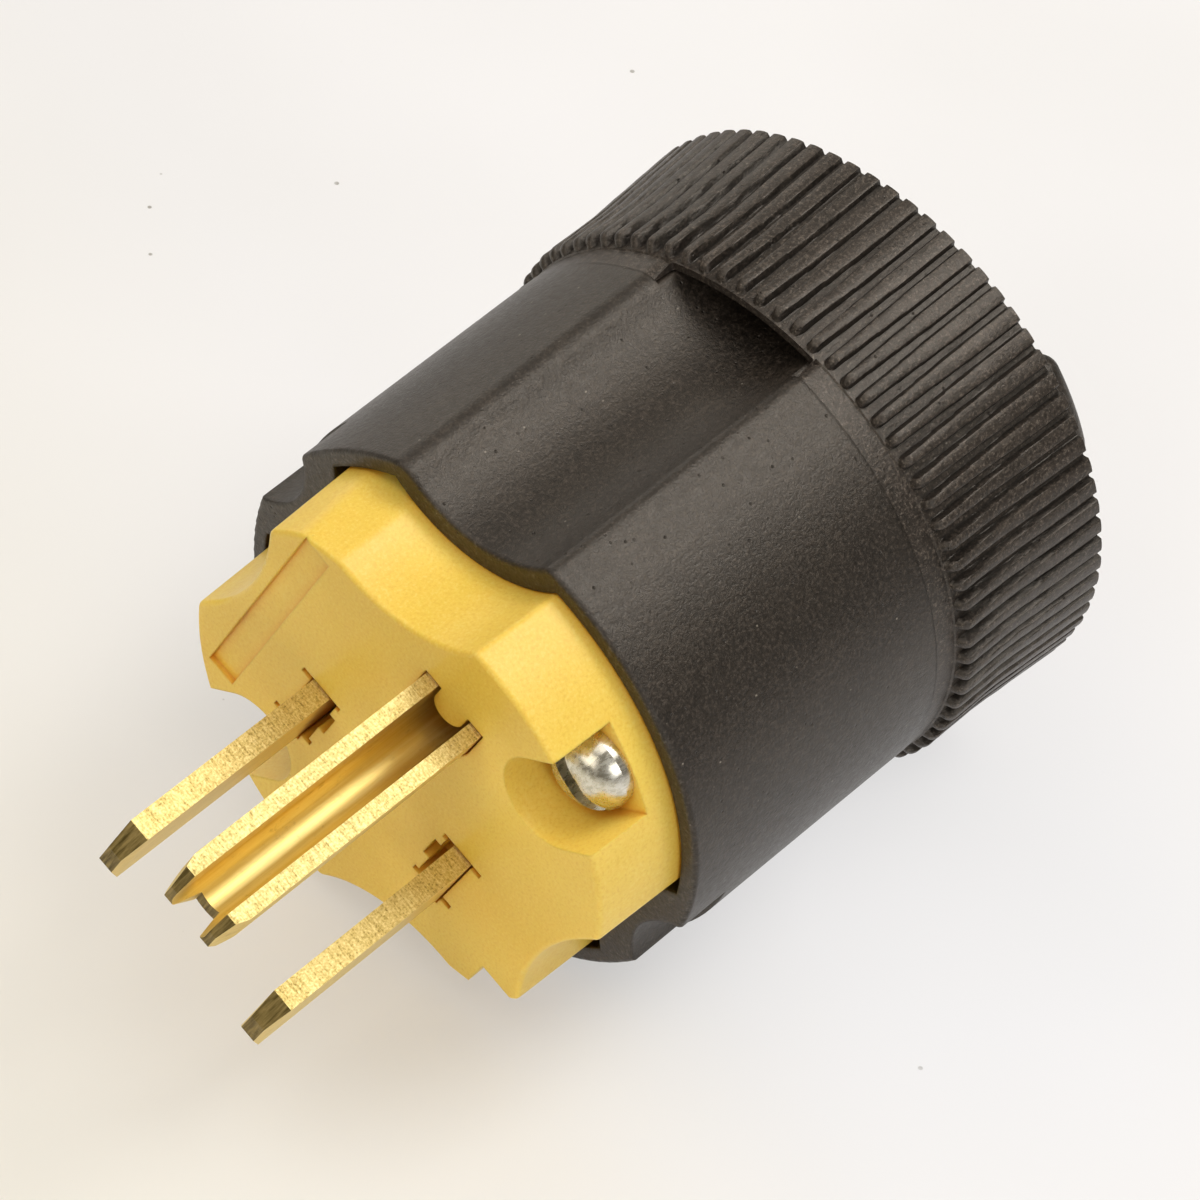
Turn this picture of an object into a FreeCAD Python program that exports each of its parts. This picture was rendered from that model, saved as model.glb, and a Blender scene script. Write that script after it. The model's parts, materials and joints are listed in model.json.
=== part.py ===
"""Wireable plug with two flat blades and a U-shaped ground pin, lying on its side.

X runs along the plug's axis towards the blade tips, Z points up as the plug lies, and the origin is
the centre of the mating face. The pieces are shaped in the pin frame, where +Z runs from the blades
to the ground pin, and are then turned about X to the way the plug lies. All sizes are millimetres
and all angles are degrees, measured about X from +Y towards +Z.
"""
import FreeCAD, Part
import math
import os
from FreeCAD import Vector

# Fit between pieces
fit = 0.1
slot_fit = 0.12

# Turn from the pin frame to the way the plug lies
lie_turn = -25.0

# Pins
blade_spacing = 12.7
blade_line = -3.62
blade_width = 6.35
blade_thickness = 1.5
blade_length = 15.9
blade_tip_length = 1.1
blade_tip_width = 2.0
blade_tip_thickness = 1.05
ground_offset = 11.89
ground_width = 4.76
ground_sheet = 1.0
ground_length = 20.0
ground_nose_length = 0.7
ground_nose_height = 1.4
ground_coin_length = 1.6
ground_coin_inset = 0.5
ground_web_length = 17.9
ground_notch_width = 1.5
ground_notch_mouth = 2.3
ground_tongue_width = 2.3
ground_tongue_end = 8.6

# Terminals
tab_width = 8.2
tab_end = -17.4
tab_corner = 1.0
ground_tab_width = 6.0
ground_fold_length = 1.5
terminal_x = -13.0
terminal_shank_radius = 1.7
terminal_shank_reach = 1.2
terminal_head_radius = 3.1
terminal_head_height = 1.9
terminal_slot_width = 0.9
terminal_slot_depth = 0.8
clamp_plate_thickness = 1.2
clamp_plate_side = 6.4

# Front body
face_radius = 16.3
face_edge_round = 0.3
flange_radius = 16.75
flange_back = -8.2
skirt_radius = 16.2
skirt_wall = 1.5
skirt_end = -24.0
front_wall = 7.0
divider_thickness = 1.6
divider_height = 3.2
divider_end = -22.5
access_radius = 3.4

# Long hollows, one up and one down as the plug lies
hollow_angle = 115.0
hollow_centre_radius = 23.25
hollow_radius = 10.0
ridge_height = 14.45
ridge_start = 4.6
ridge_width = 6.0
ridge_inner_round = 1.2
ridge_outer_round = 2.0
sharp_ridge_round = 0.5
channel_edge_round = 0.8
shell_ridge_round = 1.6

# Shallow side channels
channel_angle = -3.3
channel_centre_radius = 28.05
channel_radius = 14.4
channel_key_radius = 9.0

# Corner notch in the face
notch_side = 11.8
notch_top = -7.6
notch_depth = 5.0

# Small reliefs round the blade slots
relief_depth = 2.5
relief_bar = 0.5
relief_reach = 0.75
relief_gap = 0.45
relief_pocket_width = 0.95
relief_pocket_height = 2.2

# Strip-length gauge
gauge_length = 18.7
gauge_width = 2.1
gauge_outer = -12.75
gauge_centre = 0.55
gauge_depth = 0.35

# Assembly screws and nuts
screw_angle = 55.6
screw_circle_radius = 13.5
screw_head_radius = 2.85
screw_head_height = 2.1
screw_head_rim = 0.6
screw_shank_radius = 1.6
screw_slot_width = 1.1
screw_slot_depth = 1.2
screw_slot_angle = -18.4
screw_reach = 4.4
pocket_depth = 4.4
pocket_clearance = 0.3
boss_radius = 3.0
nut_across_flats = 5.5
nut_height = 2.2

# Outer shell
rim_x = -6.25
rim_radius = 17.95
rim_edge_round = 0.25
shell_rear_radius = 18.07
shell_back = -38.0
shell_rear_wall = 2.5
shell_hollow_wall = 1.55
shell_hollow_end = -34.5
scoop_radius = 4.8
scoop_floor = 16.05
scoop_end = -10.1

# Grip collar
collar_front = -27.4
collar_overhang = 3.0
collar_seat_radius = 17.5
collar_lip = 1.0
collar_lip_radius = 16.0
collar_floor_front = 18.1
collar_floor_waist = 18.4
collar_floor_back = 18.95
rib_count = 80
rib_nose_width = 0.72
rib_back_width = 1.02
rib_taper_length = 8.0
rib_nose_length = 0.9
rib_front_height = 0.75
rib_waist_x = -33.4
rib_waist_height = 0.42
rib_back_height = 0.4
rib_root_depth = 0.2

# Rear cover
cover_thickness = 3.6
cover_radius = 17.3
cover_edge_round = 0.6
neck_radius = 10.5
seat_front_radius = 8.75
seat_back_radius = 7.2
cord_opening_radius = 6.5
cord_mouth_round = 0.9
lobe_height = 2.8
lobe_width = 7.4
lobe_outer = 16.3
lobe_inner = 9.6
lobe_round = 1.3
lobe_sink = 0.5

# Wiring side
terminal_cover_thickness = 2.0
seal_thickness = 3.0
wire_hole_radius = 1.9
seal_radius = 10.4
seal_hole_radius = 4.6
ring_thickness = 1.4
ring_hole_radius = 5.2
jaw_bore_radius = 4.8
jaw_tooth = 0.5
jaw_teeth = 4
jaw_gap = 0.7

over = 5.0
ground_line = blade_line + ground_offset
blade_side = blade_spacing / 2
terminal_cover_back = skirt_end - terminal_cover_thickness
seal_back = terminal_cover_back - seal_thickness
neck_front = seal_back
collar_back = shell_back - collar_overhang
cover_back = shell_back - cover_thickness
lobe_end = cover_back - lobe_height
screw_tip = shell_back - screw_reach
cover_spigot_radius = collar_lip_radius - 2 * fit


def rod(x0, x1, radius, y=0.0, z=0.0):
    """A round bar along X between two stations."""
    start = min(x0, x1)
    return Part.makeCylinder(radius, abs(x1 - x0), Vector(start, y, z), Vector(1, 0, 0))


def block(x0, x1, y0, y1, z0, z1):
    """A box between two corners, given in any order."""
    low = Vector(min(x0, x1), min(y0, y1), min(z0, z1))
    return Part.makeBox(abs(x1 - x0), abs(y1 - y0), abs(z1 - z0), low)


def polar(distance, angle):
    """The (y, z) place at a distance from the axis in a direction."""
    return distance * math.cos(math.radians(angle)), distance * math.sin(math.radians(angle))


def about_axis(shape, angle):
    """A copy of a shape, turned about X."""
    turned_copy = shape.copy()
    turned_copy.rotate(Vector(0, 0, 0), Vector(1, 0, 0), angle)
    return turned_copy


def pair(shape):
    """A shape and its copy half a turn round the axis."""
    return [shape, about_axis(shape, 180)]


def outline(start, *steps):
    """Edges from a start point through steps: a point, or a (middle, end) pair for an arc."""
    edges = []
    here = Vector(start[0], 0, start[1])
    for step in steps:
        if isinstance(step[0], tuple):
            middle = Vector(step[0][0], 0, step[0][1])
            there = Vector(step[1][0], 0, step[1][1])
            edges.append(Part.Arc(here, middle, there).toShape())
        else:
            there = Vector(step[0], 0, step[1])
            edges.append(Part.makeLine(here, there))
        here = there
    first = Vector(start[0], 0, start[1])
    if here.distanceToPoint(first) > 1e-6:
        edges.append(Part.makeLine(here, first))
    return Part.Face(Part.Wire(edges))


def flat_outline(points):
    """A face from (x, y) points on the plane z = 0."""
    corners = [Vector(x, y, 0) for x, y in points]
    return Part.Face(Part.makePolygon(corners + corners[:1]))


def turned(start, *steps):
    """A solid turned about X from an outline of (x, radius) points."""
    return outline(start, *steps).revolve(Vector(0, 0, 0), Vector(1, 0, 0), 360)


def round_middle(corner, from_side, to_side, radius):
    """The middle of a quarter round at a square corner; the sides are unit steps away from it."""
    reach = radius * (1 - math.sqrt(0.5))
    return corner[0] + reach * (from_side[0] + to_side[0]), corner[1] + reach * (from_side[1] + to_side[1])


def hollow_rods(radius, x0, x1):
    """Round cutters of the two long hollows."""
    y, z = polar(hollow_centre_radius, hollow_angle)
    return pair(rod(x0, x1, radius, y, z))


def channel_rods(radius, x0, x1):
    """Round cutters of the two shallow side channels."""
    y, z = polar(channel_centre_radius, channel_angle)
    return pair(rod(x0, x1, radius, y, z))


def ridge_flats(height, x0, x1):
    """Flat cutters that blunt the ridge on one side of each hollow."""
    flat = block(x0, x1, ridge_start, ridge_start + ridge_width, height, height + over)
    return pair(about_axis(flat.mirror(Vector(0, 0, 0), Vector(0, 1, 0)), hollow_angle - 90))


def at_screws(shape_at):
    """What a function makes at the place of each assembly screw."""
    y, z = polar(screw_circle_radius, screw_angle)
    return pair(shape_at(y, z))


def without(shape, cutters):
    """A shape with a list of cutters taken out."""
    return shape.cut(Part.makeCompound(cutters))


def joined(shape, additions):
    """A shape fused with a list of others."""
    return shape.multiFuse(additions).removeSplitter()


def sliced(profile, thickness, y):
    """A plate from an (x, z) outline, centred on the plane at y."""
    plate = profile.extrude(Vector(0, thickness, 0))
    plate.translate(Vector(0, y - thickness / 2, 0))
    return plate


def ground_section(x, extra):
    """The U-shaped section of the ground pin at a station, grown by extra on every side."""
    half_out = ground_width / 2 + extra
    half_in = ground_width / 2 - ground_sheet - extra
    top = ground_line + ground_width / 2 + extra
    corner = [Vector(x, -half_out, top), Vector(x, -half_out, ground_line)]
    far = [Vector(x, half_out, ground_line), Vector(x, half_out, top)]
    near = [Vector(x, half_in, top), Vector(x, half_in, ground_line)]
    back = [Vector(x, -half_in, ground_line), Vector(x, -half_in, top)]
    edges = [
        Part.makeLine(*corner),
        Part.Arc(corner[1], Vector(x, 0, ground_line - half_out), far[0]).toShape(),
        Part.makeLine(*far),
        Part.makeLine(far[1], near[0]),
        Part.makeLine(*near),
        Part.Arc(near[1], Vector(x, 0, ground_line - half_in), back[0]).toShape(),
        Part.makeLine(*back),
        Part.makeLine(back[1], corner[0]),
    ]
    return Part.Face(Part.Wire(edges))


def tapered(x0, radius0, x1, radius1):
    """A round bar that tapers along X, with its seam in a long hollow, where it is cut away."""
    cone = Part.makeCone(radius1, radius0, x0 - x1, Vector(x1, 0, 0), Vector(1, 0, 0))
    return about_axis(cone, hollow_angle - 90)


def ridges_rounded(form, radius, first, last):
    """The form with its long edges rounded where they run between two directions, on both sides."""
    edges = []
    for edge in form.Edges:
        ends = [vertex.Point for vertex in edge.Vertexes]
        if len(ends) == 2 and abs(ends[0].x - ends[1].x) > 1:
            middle = (ends[0] + ends[1]) / 2
            angle = math.degrees(math.atan2(middle.z, middle.y)) % 180
            if first < angle < last:
                edges.append(edge)
    return form.makeFillet(radius, edges)


def rim_rounded(form, x, radius):
    """The form with the edges of its flat end at a station rounded."""
    edges = [edge for edge in form.Edges if abs(edge.BoundBox.XMin - x) < fit and abs(edge.BoundBox.XMax - x) < fit]
    return form.makeFillet(radius, edges)


def front_form():
    """The front part of the front body: a drafted disc, hollowed, with rounded ridges and face edge."""
    form = tapered(0, face_radius, flange_back, flange_radius)
    cutters = hollow_rods(hollow_radius, over, flange_back - over)
    cutters += ridge_flats(ridge_height, over, flange_back - over)
    cutters += channel_rods(channel_radius, over, flange_back - over)
    form = without(form, cutters)
    form = ridges_rounded(form, ridge_inner_round, hollow_angle + 15, hollow_angle + 21)
    form = ridges_rounded(form, ridge_outer_round, hollow_angle + 25, hollow_angle + 32)
    form = ridges_rounded(form, sharp_ridge_round, hollow_angle - 25, hollow_angle - 18)
    form = ridges_rounded(form, channel_edge_round, hollow_angle + 35, 180)
    form = ridges_rounded(form, channel_edge_round, 0, hollow_angle - 60)
    return rim_rounded(form, 0, face_edge_round)


def skirt_form():
    """The round skirt behind the front part, hollowed in line with it."""
    form = rod(flange_back, skirt_end, skirt_radius)
    cutters = hollow_rods(hollow_radius, over, skirt_end - over)
    cutters += ridge_flats(ridge_height, over, skirt_end - over)
    cutters += channel_rods(channel_radius, over, skirt_end - over)
    return without(form, cutters)


def wiring_space():
    """The space inside the skirt, less the dividers and the screw bosses."""
    space = rod(-front_wall, skirt_end - over, skirt_radius - skirt_wall)
    solids = hollow_rods(hollow_radius + skirt_wall, 0, skirt_end - 2 * over)
    solids += channel_rods(channel_radius + skirt_wall, 0, skirt_end - 2 * over)
    solids += at_screws(lambda y, z: rod(0, skirt_end - 2 * over, boss_radius, y, z))
    shelf_low = divider_height - divider_thickness / 2
    shelf_high = divider_height + divider_thickness / 2
    solids.append(block(0, divider_end, -skirt_radius, skirt_radius, shelf_low, shelf_high))
    half = divider_thickness / 2
    solids.append(block(0, divider_end, -half, half, -skirt_radius, shelf_high))
    return without(space, solids)


def blade_slot(side):
    """The opening for one blade, with the small reliefs round it in the face."""
    y = side * blade_side
    half_t = blade_thickness / 2 + slot_fit
    half_w = blade_width / 2 + slot_fit
    through = block(over, -front_wall - over, y - half_t, y + half_t, blade_line - half_w, blade_line + half_w)
    reach = half_t + relief_reach
    top = blade_line + half_w
    low = blade_line - blade_width / 3
    bars = [block(over, -relief_depth, y - reach, y + reach, top - relief_bar, top)]
    bars.append(block(over, -relief_depth, y - reach, y + reach, low - relief_bar, low))
    inner = y - side * half_t
    pocket_top = blade_line + blade_width * 0.3
    bars.append(block(over, -relief_depth, inner, inner - side * relief_pocket_width,
                      pocket_top - relief_pocket_height, pocket_top))
    bars.append(block(over, -relief_depth, inner, inner - side * relief_gap, low, top))
    return [through] + bars


def screw_pocket(y, z):
    """The round-ended pocket of an assembly screw, open to the side of the body."""
    half = screw_head_radius + pocket_clearance
    pocket = rod(over, -pocket_depth, half)
    pocket = pocket.fuse(block(over, -pocket_depth, 0, over, -half, half))
    pocket = about_axis(pocket, screw_angle)
    pocket.translate(Vector(0, y, z))
    hole = rod(over, skirt_end - over, screw_shank_radius + fit, y, z)
    return pocket.fuse(hole)


def access_holes():
    """Screwdriver holes through the skirt, one over each terminal screw."""
    reach = skirt_radius + over
    start = skirt_radius / 2
    line = Part.makeCylinder(access_radius, reach - start, Vector(terminal_x, start, blade_line), Vector(0, 1, 0))
    neutral = line.mirror(Vector(0, 0, 0), Vector(0, 1, 0))
    ground = Part.makeCylinder(access_radius, reach - start, Vector(terminal_x, 0, start + over), Vector(0, 0, 1))
    return [line, neutral, ground]


def ground_slot():
    """The opening for the ground pin, with a round-ended tongue left standing in it."""
    half = ground_width / 2 + slot_fit
    reach = over + front_wall + over
    top = ground_line + half
    slot = block(over, over - reach, -half, half, ground_line, top).fuse(rod(over, over - reach, half, 0, ground_line))
    tongue = ground_tongue_width / 2
    centre = ground_tongue_end + tongue
    slot = slot.cut(rod(over, over - reach, tongue, 0, centre))
    return slot.cut(block(over, over - reach, -tongue, tongue, centre, top + over))


def front_body():
    """The moulded insulator that carries the pins."""
    cutters = at_screws(screw_pocket)
    cutters += blade_slot(1)
    cutters += blade_slot(-1)
    cutters.append(ground_slot())
    cutters.append(block(over, -notch_depth, notch_side, notch_side + 2 * over, notch_top, notch_top - 2 * over))
    gauge_low = gauge_centre - gauge_length / 2
    cutters.append(block(over, -gauge_depth, gauge_outer, gauge_outer + gauge_width,
                         gauge_low, gauge_low + gauge_length))
    cutters.append(wiring_space())
    body = front_form().fuse(skirt_form())
    for cutter in cutters + access_holes():
        body = body.cut(cutter)
    return body


def blade(side):
    """A flat blade with a bevelled tip and a drilled terminal pad behind the front wall."""
    half = blade_width / 2
    tip = blade_tip_width / 2
    tip_start = blade_length - blade_tip_length
    pad = tab_width / 2
    profile = outline(
        (blade_length, -tip),
        (blade_length, tip),
        (tip_start, half),
        (-front_wall, half),
        (-front_wall, pad),
        (tab_end + tab_corner, pad),
        (tab_end, pad - tab_corner),
        (tab_end, tab_corner - pad),
        (tab_end + tab_corner, -pad),
        (-front_wall, -pad),
        (-front_wall, -half),
        (tip_start, -half),
    )
    strip = sliced(profile, blade_thickness, 0)
    half_t = blade_thickness / 2
    half_tip = blade_tip_thickness / 2
    flank = [Vector(tip_start, half_t, 0), Vector(blade_length + fit, half_tip, 0),
             Vector(blade_length + fit, over, 0), Vector(tip_start, over, 0)]
    wedge = Part.Face(Part.makePolygon(flank + flank[:1])).extrude(Vector(0, 0, 2 * blade_width))
    wedge.translate(Vector(0, 0, -blade_width))
    strip = strip.cut(wedge)
    strip = strip.cut(wedge.mirror(Vector(0, 0, 0), Vector(0, 1, 0)))
    hole = Part.makeCylinder(terminal_shank_radius + fit / 2, 2 * over, Vector(terminal_x, -over, 0), Vector(0, 1, 0))
    strip = strip.cut(hole)
    strip.translate(Vector(0, side * blade_side, blade_line))
    return strip


def ground_web():
    """The height of the ground terminal pad's underside."""
    return ground_line - ground_width / 2


def ground_pin():
    """The sheet folded to a U, with a bevelled, coined and notched nose and a drilled terminal pad."""
    rear = -front_wall - ground_fold_length
    body = ground_section(ground_length, 0).extrude(Vector(rear - ground_length, 0, 0))
    half = ground_width / 2
    nose = ground_nose_height / 2
    side_view = outline(
        (rear, ground_line - half),
        (ground_web_length, ground_line - half),
        (ground_length, ground_line - nose),
        (ground_length, ground_line + nose),
        (ground_length - ground_nose_length, ground_line + half),
        (rear, ground_line + half),
    )
    body = body.common(sliced(side_view, 2 * ground_width, 0))
    tip = half - ground_coin_inset
    coin_start = ground_length - ground_coin_length
    top_view = flat_outline([(rear, -half), (coin_start, -half), (ground_length, -tip), (ground_length, tip),
                             (coin_start, half), (rear, half)])
    body = body.common(top_view.extrude(Vector(0, 0, ground_line + ground_width)))
    deep = ground_notch_width / 2
    mouth = ground_notch_mouth / 2
    notch = flat_outline([(ground_web_length, -deep), (ground_length, -mouth), (ground_length, mouth),
                          (ground_web_length, deep)])
    body = body.cut(notch.extrude(Vector(0, 0, ground_line)))
    web = ground_web()
    pad = block(-front_wall, tab_end, -ground_tab_width / 2, ground_tab_width / 2, web, web + ground_sheet)
    body = body.fuse(pad)
    hole = Part.makeCylinder(terminal_shank_radius + fit / 2, 2 * over, Vector(terminal_x, 0, web - over),
                             Vector(0, 0, 1))
    return body.cut(hole).removeSplitter()


def terminal_screw():
    """A slotted binding screw on +Z, with the pad's outer face at z = 0."""
    shank_low = -blade_thickness - terminal_shank_reach
    head_low = clamp_plate_thickness
    shank = Part.makeCylinder(terminal_shank_radius, head_low - shank_low, Vector(0, 0, shank_low))
    head = Part.makeCylinder(terminal_head_radius, terminal_head_height, Vector(0, 0, head_low))
    head = head.makeFillet(terminal_head_height / 3, [head.Edges[0]])
    slot_low = head_low + terminal_head_height - terminal_slot_depth
    half = terminal_slot_width / 2
    slot = block(-over, over, -half, half, slot_low, slot_low + over)
    return shank.fuse(head).cut(slot).removeSplitter()


def wire_clamp():
    """A square pressure plate on z = 0, with two wire grooves underneath and a hole for its screw."""
    half = clamp_plate_side / 2
    plate = block(-half, half, -half, half, 0, clamp_plate_thickness)
    hole = Part.makeCylinder(terminal_shank_radius + fit / 2, 2 * over, Vector(0, 0, -over))
    groove = rod(-over, over, clamp_plate_thickness / 2, half * 0.75, 0)
    return without(plate, [hole, groove, groove.mirror(Vector(0, 0, 0), Vector(0, 1, 0))])


def on_blade(shape, side):
    """A terminal piece, moved from z = 0 to the outer face of a blade's pad."""
    placed = shape.copy()
    placed.rotate(Vector(0, 0, 0), Vector(1, 0, 0), -90 * side)
    placed.translate(Vector(terminal_x, side * (blade_side + blade_thickness / 2), blade_line))
    return placed


def on_ground(shape):
    """A terminal piece, moved from z = 0 to the ground pin's pad."""
    placed = shape.copy()
    placed.translate(Vector(terminal_x, 0, ground_web() + ground_sheet))
    return placed


def assembly_screw(y, z):
    """A long slotted screw from its pocket in the face to its nut in the rear cover."""
    seat = -pocket_depth
    crown = seat + screw_head_height
    rim = seat + screw_head_rim
    middle = (rim + (crown - rim) * 0.75, screw_head_radius * 0.72)
    screw = turned(
        (crown, 0),
        (middle, (rim, screw_head_radius)),
        (seat, screw_head_radius),
        (seat, screw_shank_radius),
        (screw_tip, screw_shank_radius),
        (screw_tip, 0),
    )
    half = screw_slot_width / 2
    slot = block(crown - screw_slot_depth, crown + over, -over, over, -half, half)
    screw = screw.cut(about_axis(slot, screw_slot_angle))
    screw.translate(Vector(0, y, z))
    return screw


def hexagon(across_flats, x0, x1):
    """A six-sided bar along X with a flat facing outwards."""
    reach = across_flats / 2 / math.cos(math.radians(30))
    corners = [Vector(x0, *polar(reach, 30 + 60 * step)) for step in range(6)]
    return Part.Face(Part.makePolygon(corners + corners[:1])).extrude(Vector(x1 - x0, 0, 0))


def nut_station():
    """Front and back of the assembly nuts in the rear cover."""
    front = shell_back - collar_lip - 2 * fit
    return front, front - nut_height


def assembly_nut(y, z):
    """A nut in its pocket in the rear cover."""
    front, back = nut_station()
    nut = hexagon(nut_across_flats, front, back).cut(rod(front + over, back - over, screw_shank_radius + fit / 2))
    nut = about_axis(nut, screw_angle)
    nut.translate(Vector(0, y, z))
    return nut


def shell_form():
    """The outside of the shell: a slight taper and a step for the collar, hollowed, with soft ridges."""
    step = collar_front + fit
    cutters = hollow_rods(hollow_radius - fit - shell_hollow_wall, over, shell_hollow_end)
    front = without(tapered(rim_x, rim_radius, step, shell_rear_radius), cutters)
    front = ridges_rounded(front, shell_ridge_round, hollow_angle, hollow_angle + 30)
    front = ridges_rounded(front, shell_ridge_round / 2, hollow_angle - 30, hollow_angle)
    seat = without(rod(step, shell_back, collar_seat_radius), cutters)
    return rim_rounded(front, rim_x, rim_edge_round).fuse(seat)


def outer_shell():
    """The soft shell: hollowed like the front body, scooped at its rim, with a seat for the collar."""
    blank = shell_form()
    inner_hollow = hollow_radius - fit
    bore = rod(over, flange_back, flange_radius + fit)
    bore = bore.fuse(rod(flange_back, shell_back + shell_rear_wall, skirt_radius + fit))
    keys = hollow_rods(inner_hollow, 2 * over, shell_back)
    key_floor = channel_centre_radius - channel_radius + fit
    key_y, key_z = polar(key_floor + channel_key_radius, channel_angle)
    keys += pair(rod(2 * over, shell_back, channel_key_radius, key_y, key_z))
    for key in keys:
        bore = bore.cut(key)
    scoop_y, scoop_z = polar(scoop_floor + scoop_radius, channel_angle)
    cutters = [bore, rod(0, shell_back - over, neck_radius + fit)]
    cutters += pair(rod(over, scoop_end, scoop_radius, scoop_y, scoop_z))
    cutters += at_screws(lambda y, z: rod(0, shell_back - over, screw_shank_radius + fit, y, z))
    for cutter in cutters:
        blank = blank.cut(cutter)
    return blank


def rib():
    """One grip rib on +Z, with a rounded front and a top that dips, then flares to the back."""
    front_top = collar_floor_front + rib_front_height
    waist_top = collar_floor_waist + rib_waist_height
    back_top = collar_floor_back + rib_back_height
    nose_end = collar_front - rib_nose_length
    nose_middle = (collar_front - rib_nose_length * 0.3, collar_floor_front + rib_front_height * 0.75)
    sag = rib_waist_height / 8
    flare_middle = ((rib_waist_x + collar_back) / 2, (waist_top + back_top) / 2 - sag)
    root = collar_floor_front - rib_root_depth
    profile = outline(
        (collar_front, root),
        (collar_front, collar_floor_front + rib_front_height / 8),
        (nose_middle, (nose_end, front_top)),
        (rib_waist_x, waist_top),
        (flare_middle, (collar_back, back_top)),
        (collar_back, root),
    )
    nose = rib_nose_width / 2
    back = rib_back_width / 2
    taper_end = collar_front - rib_taper_length
    plan = flat_outline([(collar_front - nose, -nose), (collar_front - nose, nose), (taper_end, back),
                         (collar_back, back), (collar_back, -back), (taper_end, -back)])
    plan = plan.extrude(Vector(0, 0, 2 * root))
    round_nose = Part.makeCylinder(nose, 2 * root, Vector(collar_front - nose, 0, 0))
    return sliced(profile, 2 * rib_back_width, 0).common(plan.fuse(round_nose))


def grip_collar():
    """The ribbed collar round the shell's rear, held by its lip between shell and rear cover."""
    seat = collar_seat_radius + fit
    lip_back = shell_back - collar_lip
    band = turned(
        (collar_front, seat),
        (collar_front, collar_floor_front),
        (rib_waist_x, collar_floor_waist),
        (collar_back, collar_floor_back),
        (collar_back, cover_radius + fit),
        (lip_back, cover_radius + fit),
        (lip_back, collar_lip_radius),
        (shell_back, collar_lip_radius),
        (shell_back, seat),
    )
    ribs = [about_axis(rib(), step * 360 / rib_count) for step in range(rib_count)]
    return band.multiFuse(ribs)


def lobe():
    """One rear boss over an assembly screw, on +Y."""
    start = cover_back + lobe_sink
    half = lobe_width / 2
    form = block(start, lobe_end, lobe_inner, lobe_outer + over, -half, half).common(rod(start, lobe_end, lobe_outer))
    edges = []
    for edge in form.Edges:
        places = [vertex.Point.x for vertex in edge.Vertexes]
        if max(places) - min(places) > lobe_sink or max(places) < lobe_end + fit:
            edges.append(edge)
    return about_axis(form.makeFillet(lobe_round, edges), screw_angle)


def seat_radius(x):
    """The radius of the jaw cone at a station."""
    front = neck_front - ring_thickness
    share = (front - x) / (front - shell_back)
    return seat_front_radius + share * (seat_back_radius - seat_front_radius)


def rear_cover():
    """The cover behind the collar: cord opening, jaw cone in its neck, and two bosses for the nuts."""
    ring_back = neck_front - ring_thickness
    mouth = cord_opening_radius + cord_mouth_round
    mouth_middle = round_middle((cover_back, cord_opening_radius), (0, 1), (1, 0), cord_mouth_round)
    edge_middle = round_middle((cover_back, cover_radius), (0, -1), (1, 0), cover_edge_round)
    body = turned(
        (neck_front, seat_front_radius),
        (neck_front, neck_radius),
        (shell_back, neck_radius),
        (shell_back, cover_spigot_radius),
        (shell_back - collar_lip, cover_spigot_radius),
        (shell_back - collar_lip, cover_radius),
        (cover_back + cover_edge_round, cover_radius),
        (edge_middle, (cover_back, cover_radius - cover_edge_round)),
        (cover_back, mouth),
        (mouth_middle, (cover_back + cord_mouth_round, cord_opening_radius)),
        (shell_back, cord_opening_radius),
        (shell_back, seat_back_radius),
        (ring_back, seat_front_radius),
    )
    body = body.multiFuse(pair(lobe()))
    front, back = nut_station()
    nut_pocket = about_axis(hexagon(nut_across_flats + fit, over, back), screw_angle)
    nut_pocket = nut_pocket.common(rod(shell_back, back, 2 * over))
    cutters = at_screws(lambda y, z: nut_pocket.translated(Vector(0, y, z)))
    cutters += at_screws(lambda y, z: rod(0, screw_tip - fit, screw_shank_radius + fit, y, z))
    for cutter in cutters:
        body = body.cut(cutter)
    return body


def terminal_cover():
    """The insulating plate behind the terminals, with holes for the three wires and the two screws."""
    x0 = skirt_end
    x1 = terminal_cover_back
    plate = rod(x0, x1, skirt_radius - fit)
    cutters = hollow_rods(hollow_radius + fit, over, x1 - over)
    cutters += channel_rods(channel_radius + fit, over, x1 - over)
    cutters += at_screws(lambda y, z: rod(0, x1 - over, screw_shank_radius + fit, y, z))
    wire_side = blade_side + blade_thickness / 2 + clamp_plate_thickness
    wire_up = ground_web() + ground_sheet + clamp_plate_thickness
    cutters.append(rod(0, x1 - over, wire_hole_radius, wire_side, blade_line))
    cutters.append(rod(0, x1 - over, wire_hole_radius, -wire_side, blade_line))
    cutters.append(rod(0, x1 - over, wire_hole_radius, 0, wire_up))
    for cutter in cutters:
        plate = plate.cut(cutter)
    return plate


def dust_seal():
    """The soft disc round the cord, between the terminal cover and the neck."""
    return rod(terminal_cover_back, seal_back, seal_radius).cut(rod(0, seal_back - over, seal_hole_radius))


def wedge_ring():
    """The ring that pushes the jaws into their cone."""
    back = neck_front - ring_thickness
    return rod(neck_front, back, seat_front_radius - fit).cut(rod(0, back - over, ring_hole_radius))


def cord_jaw():
    """One half of the cord grip: a cone outside, teeth inside, on the +Z side of the gap."""
    front = neck_front - ring_thickness
    back = shell_back + fit
    pitch = (front - back) / jaw_teeth
    teeth = []
    for step in range(jaw_teeth):
        start = back + step * pitch
        teeth.append((start + pitch * 0.5, jaw_bore_radius))
        teeth.append((start + pitch, jaw_bore_radius + jaw_tooth))
    cone = turned(
        (back, jaw_bore_radius + jaw_tooth),
        *teeth,
        (front, seat_radius(front) - fit),
        (back, seat_radius(back) - fit),
    )
    return cone.common(block(front, back, -2 * over, 2 * over, jaw_gap / 2, 2 * over))


def group(solids):
    """Like solids that share one node."""
    return Part.makeCompound(solids)


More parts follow.
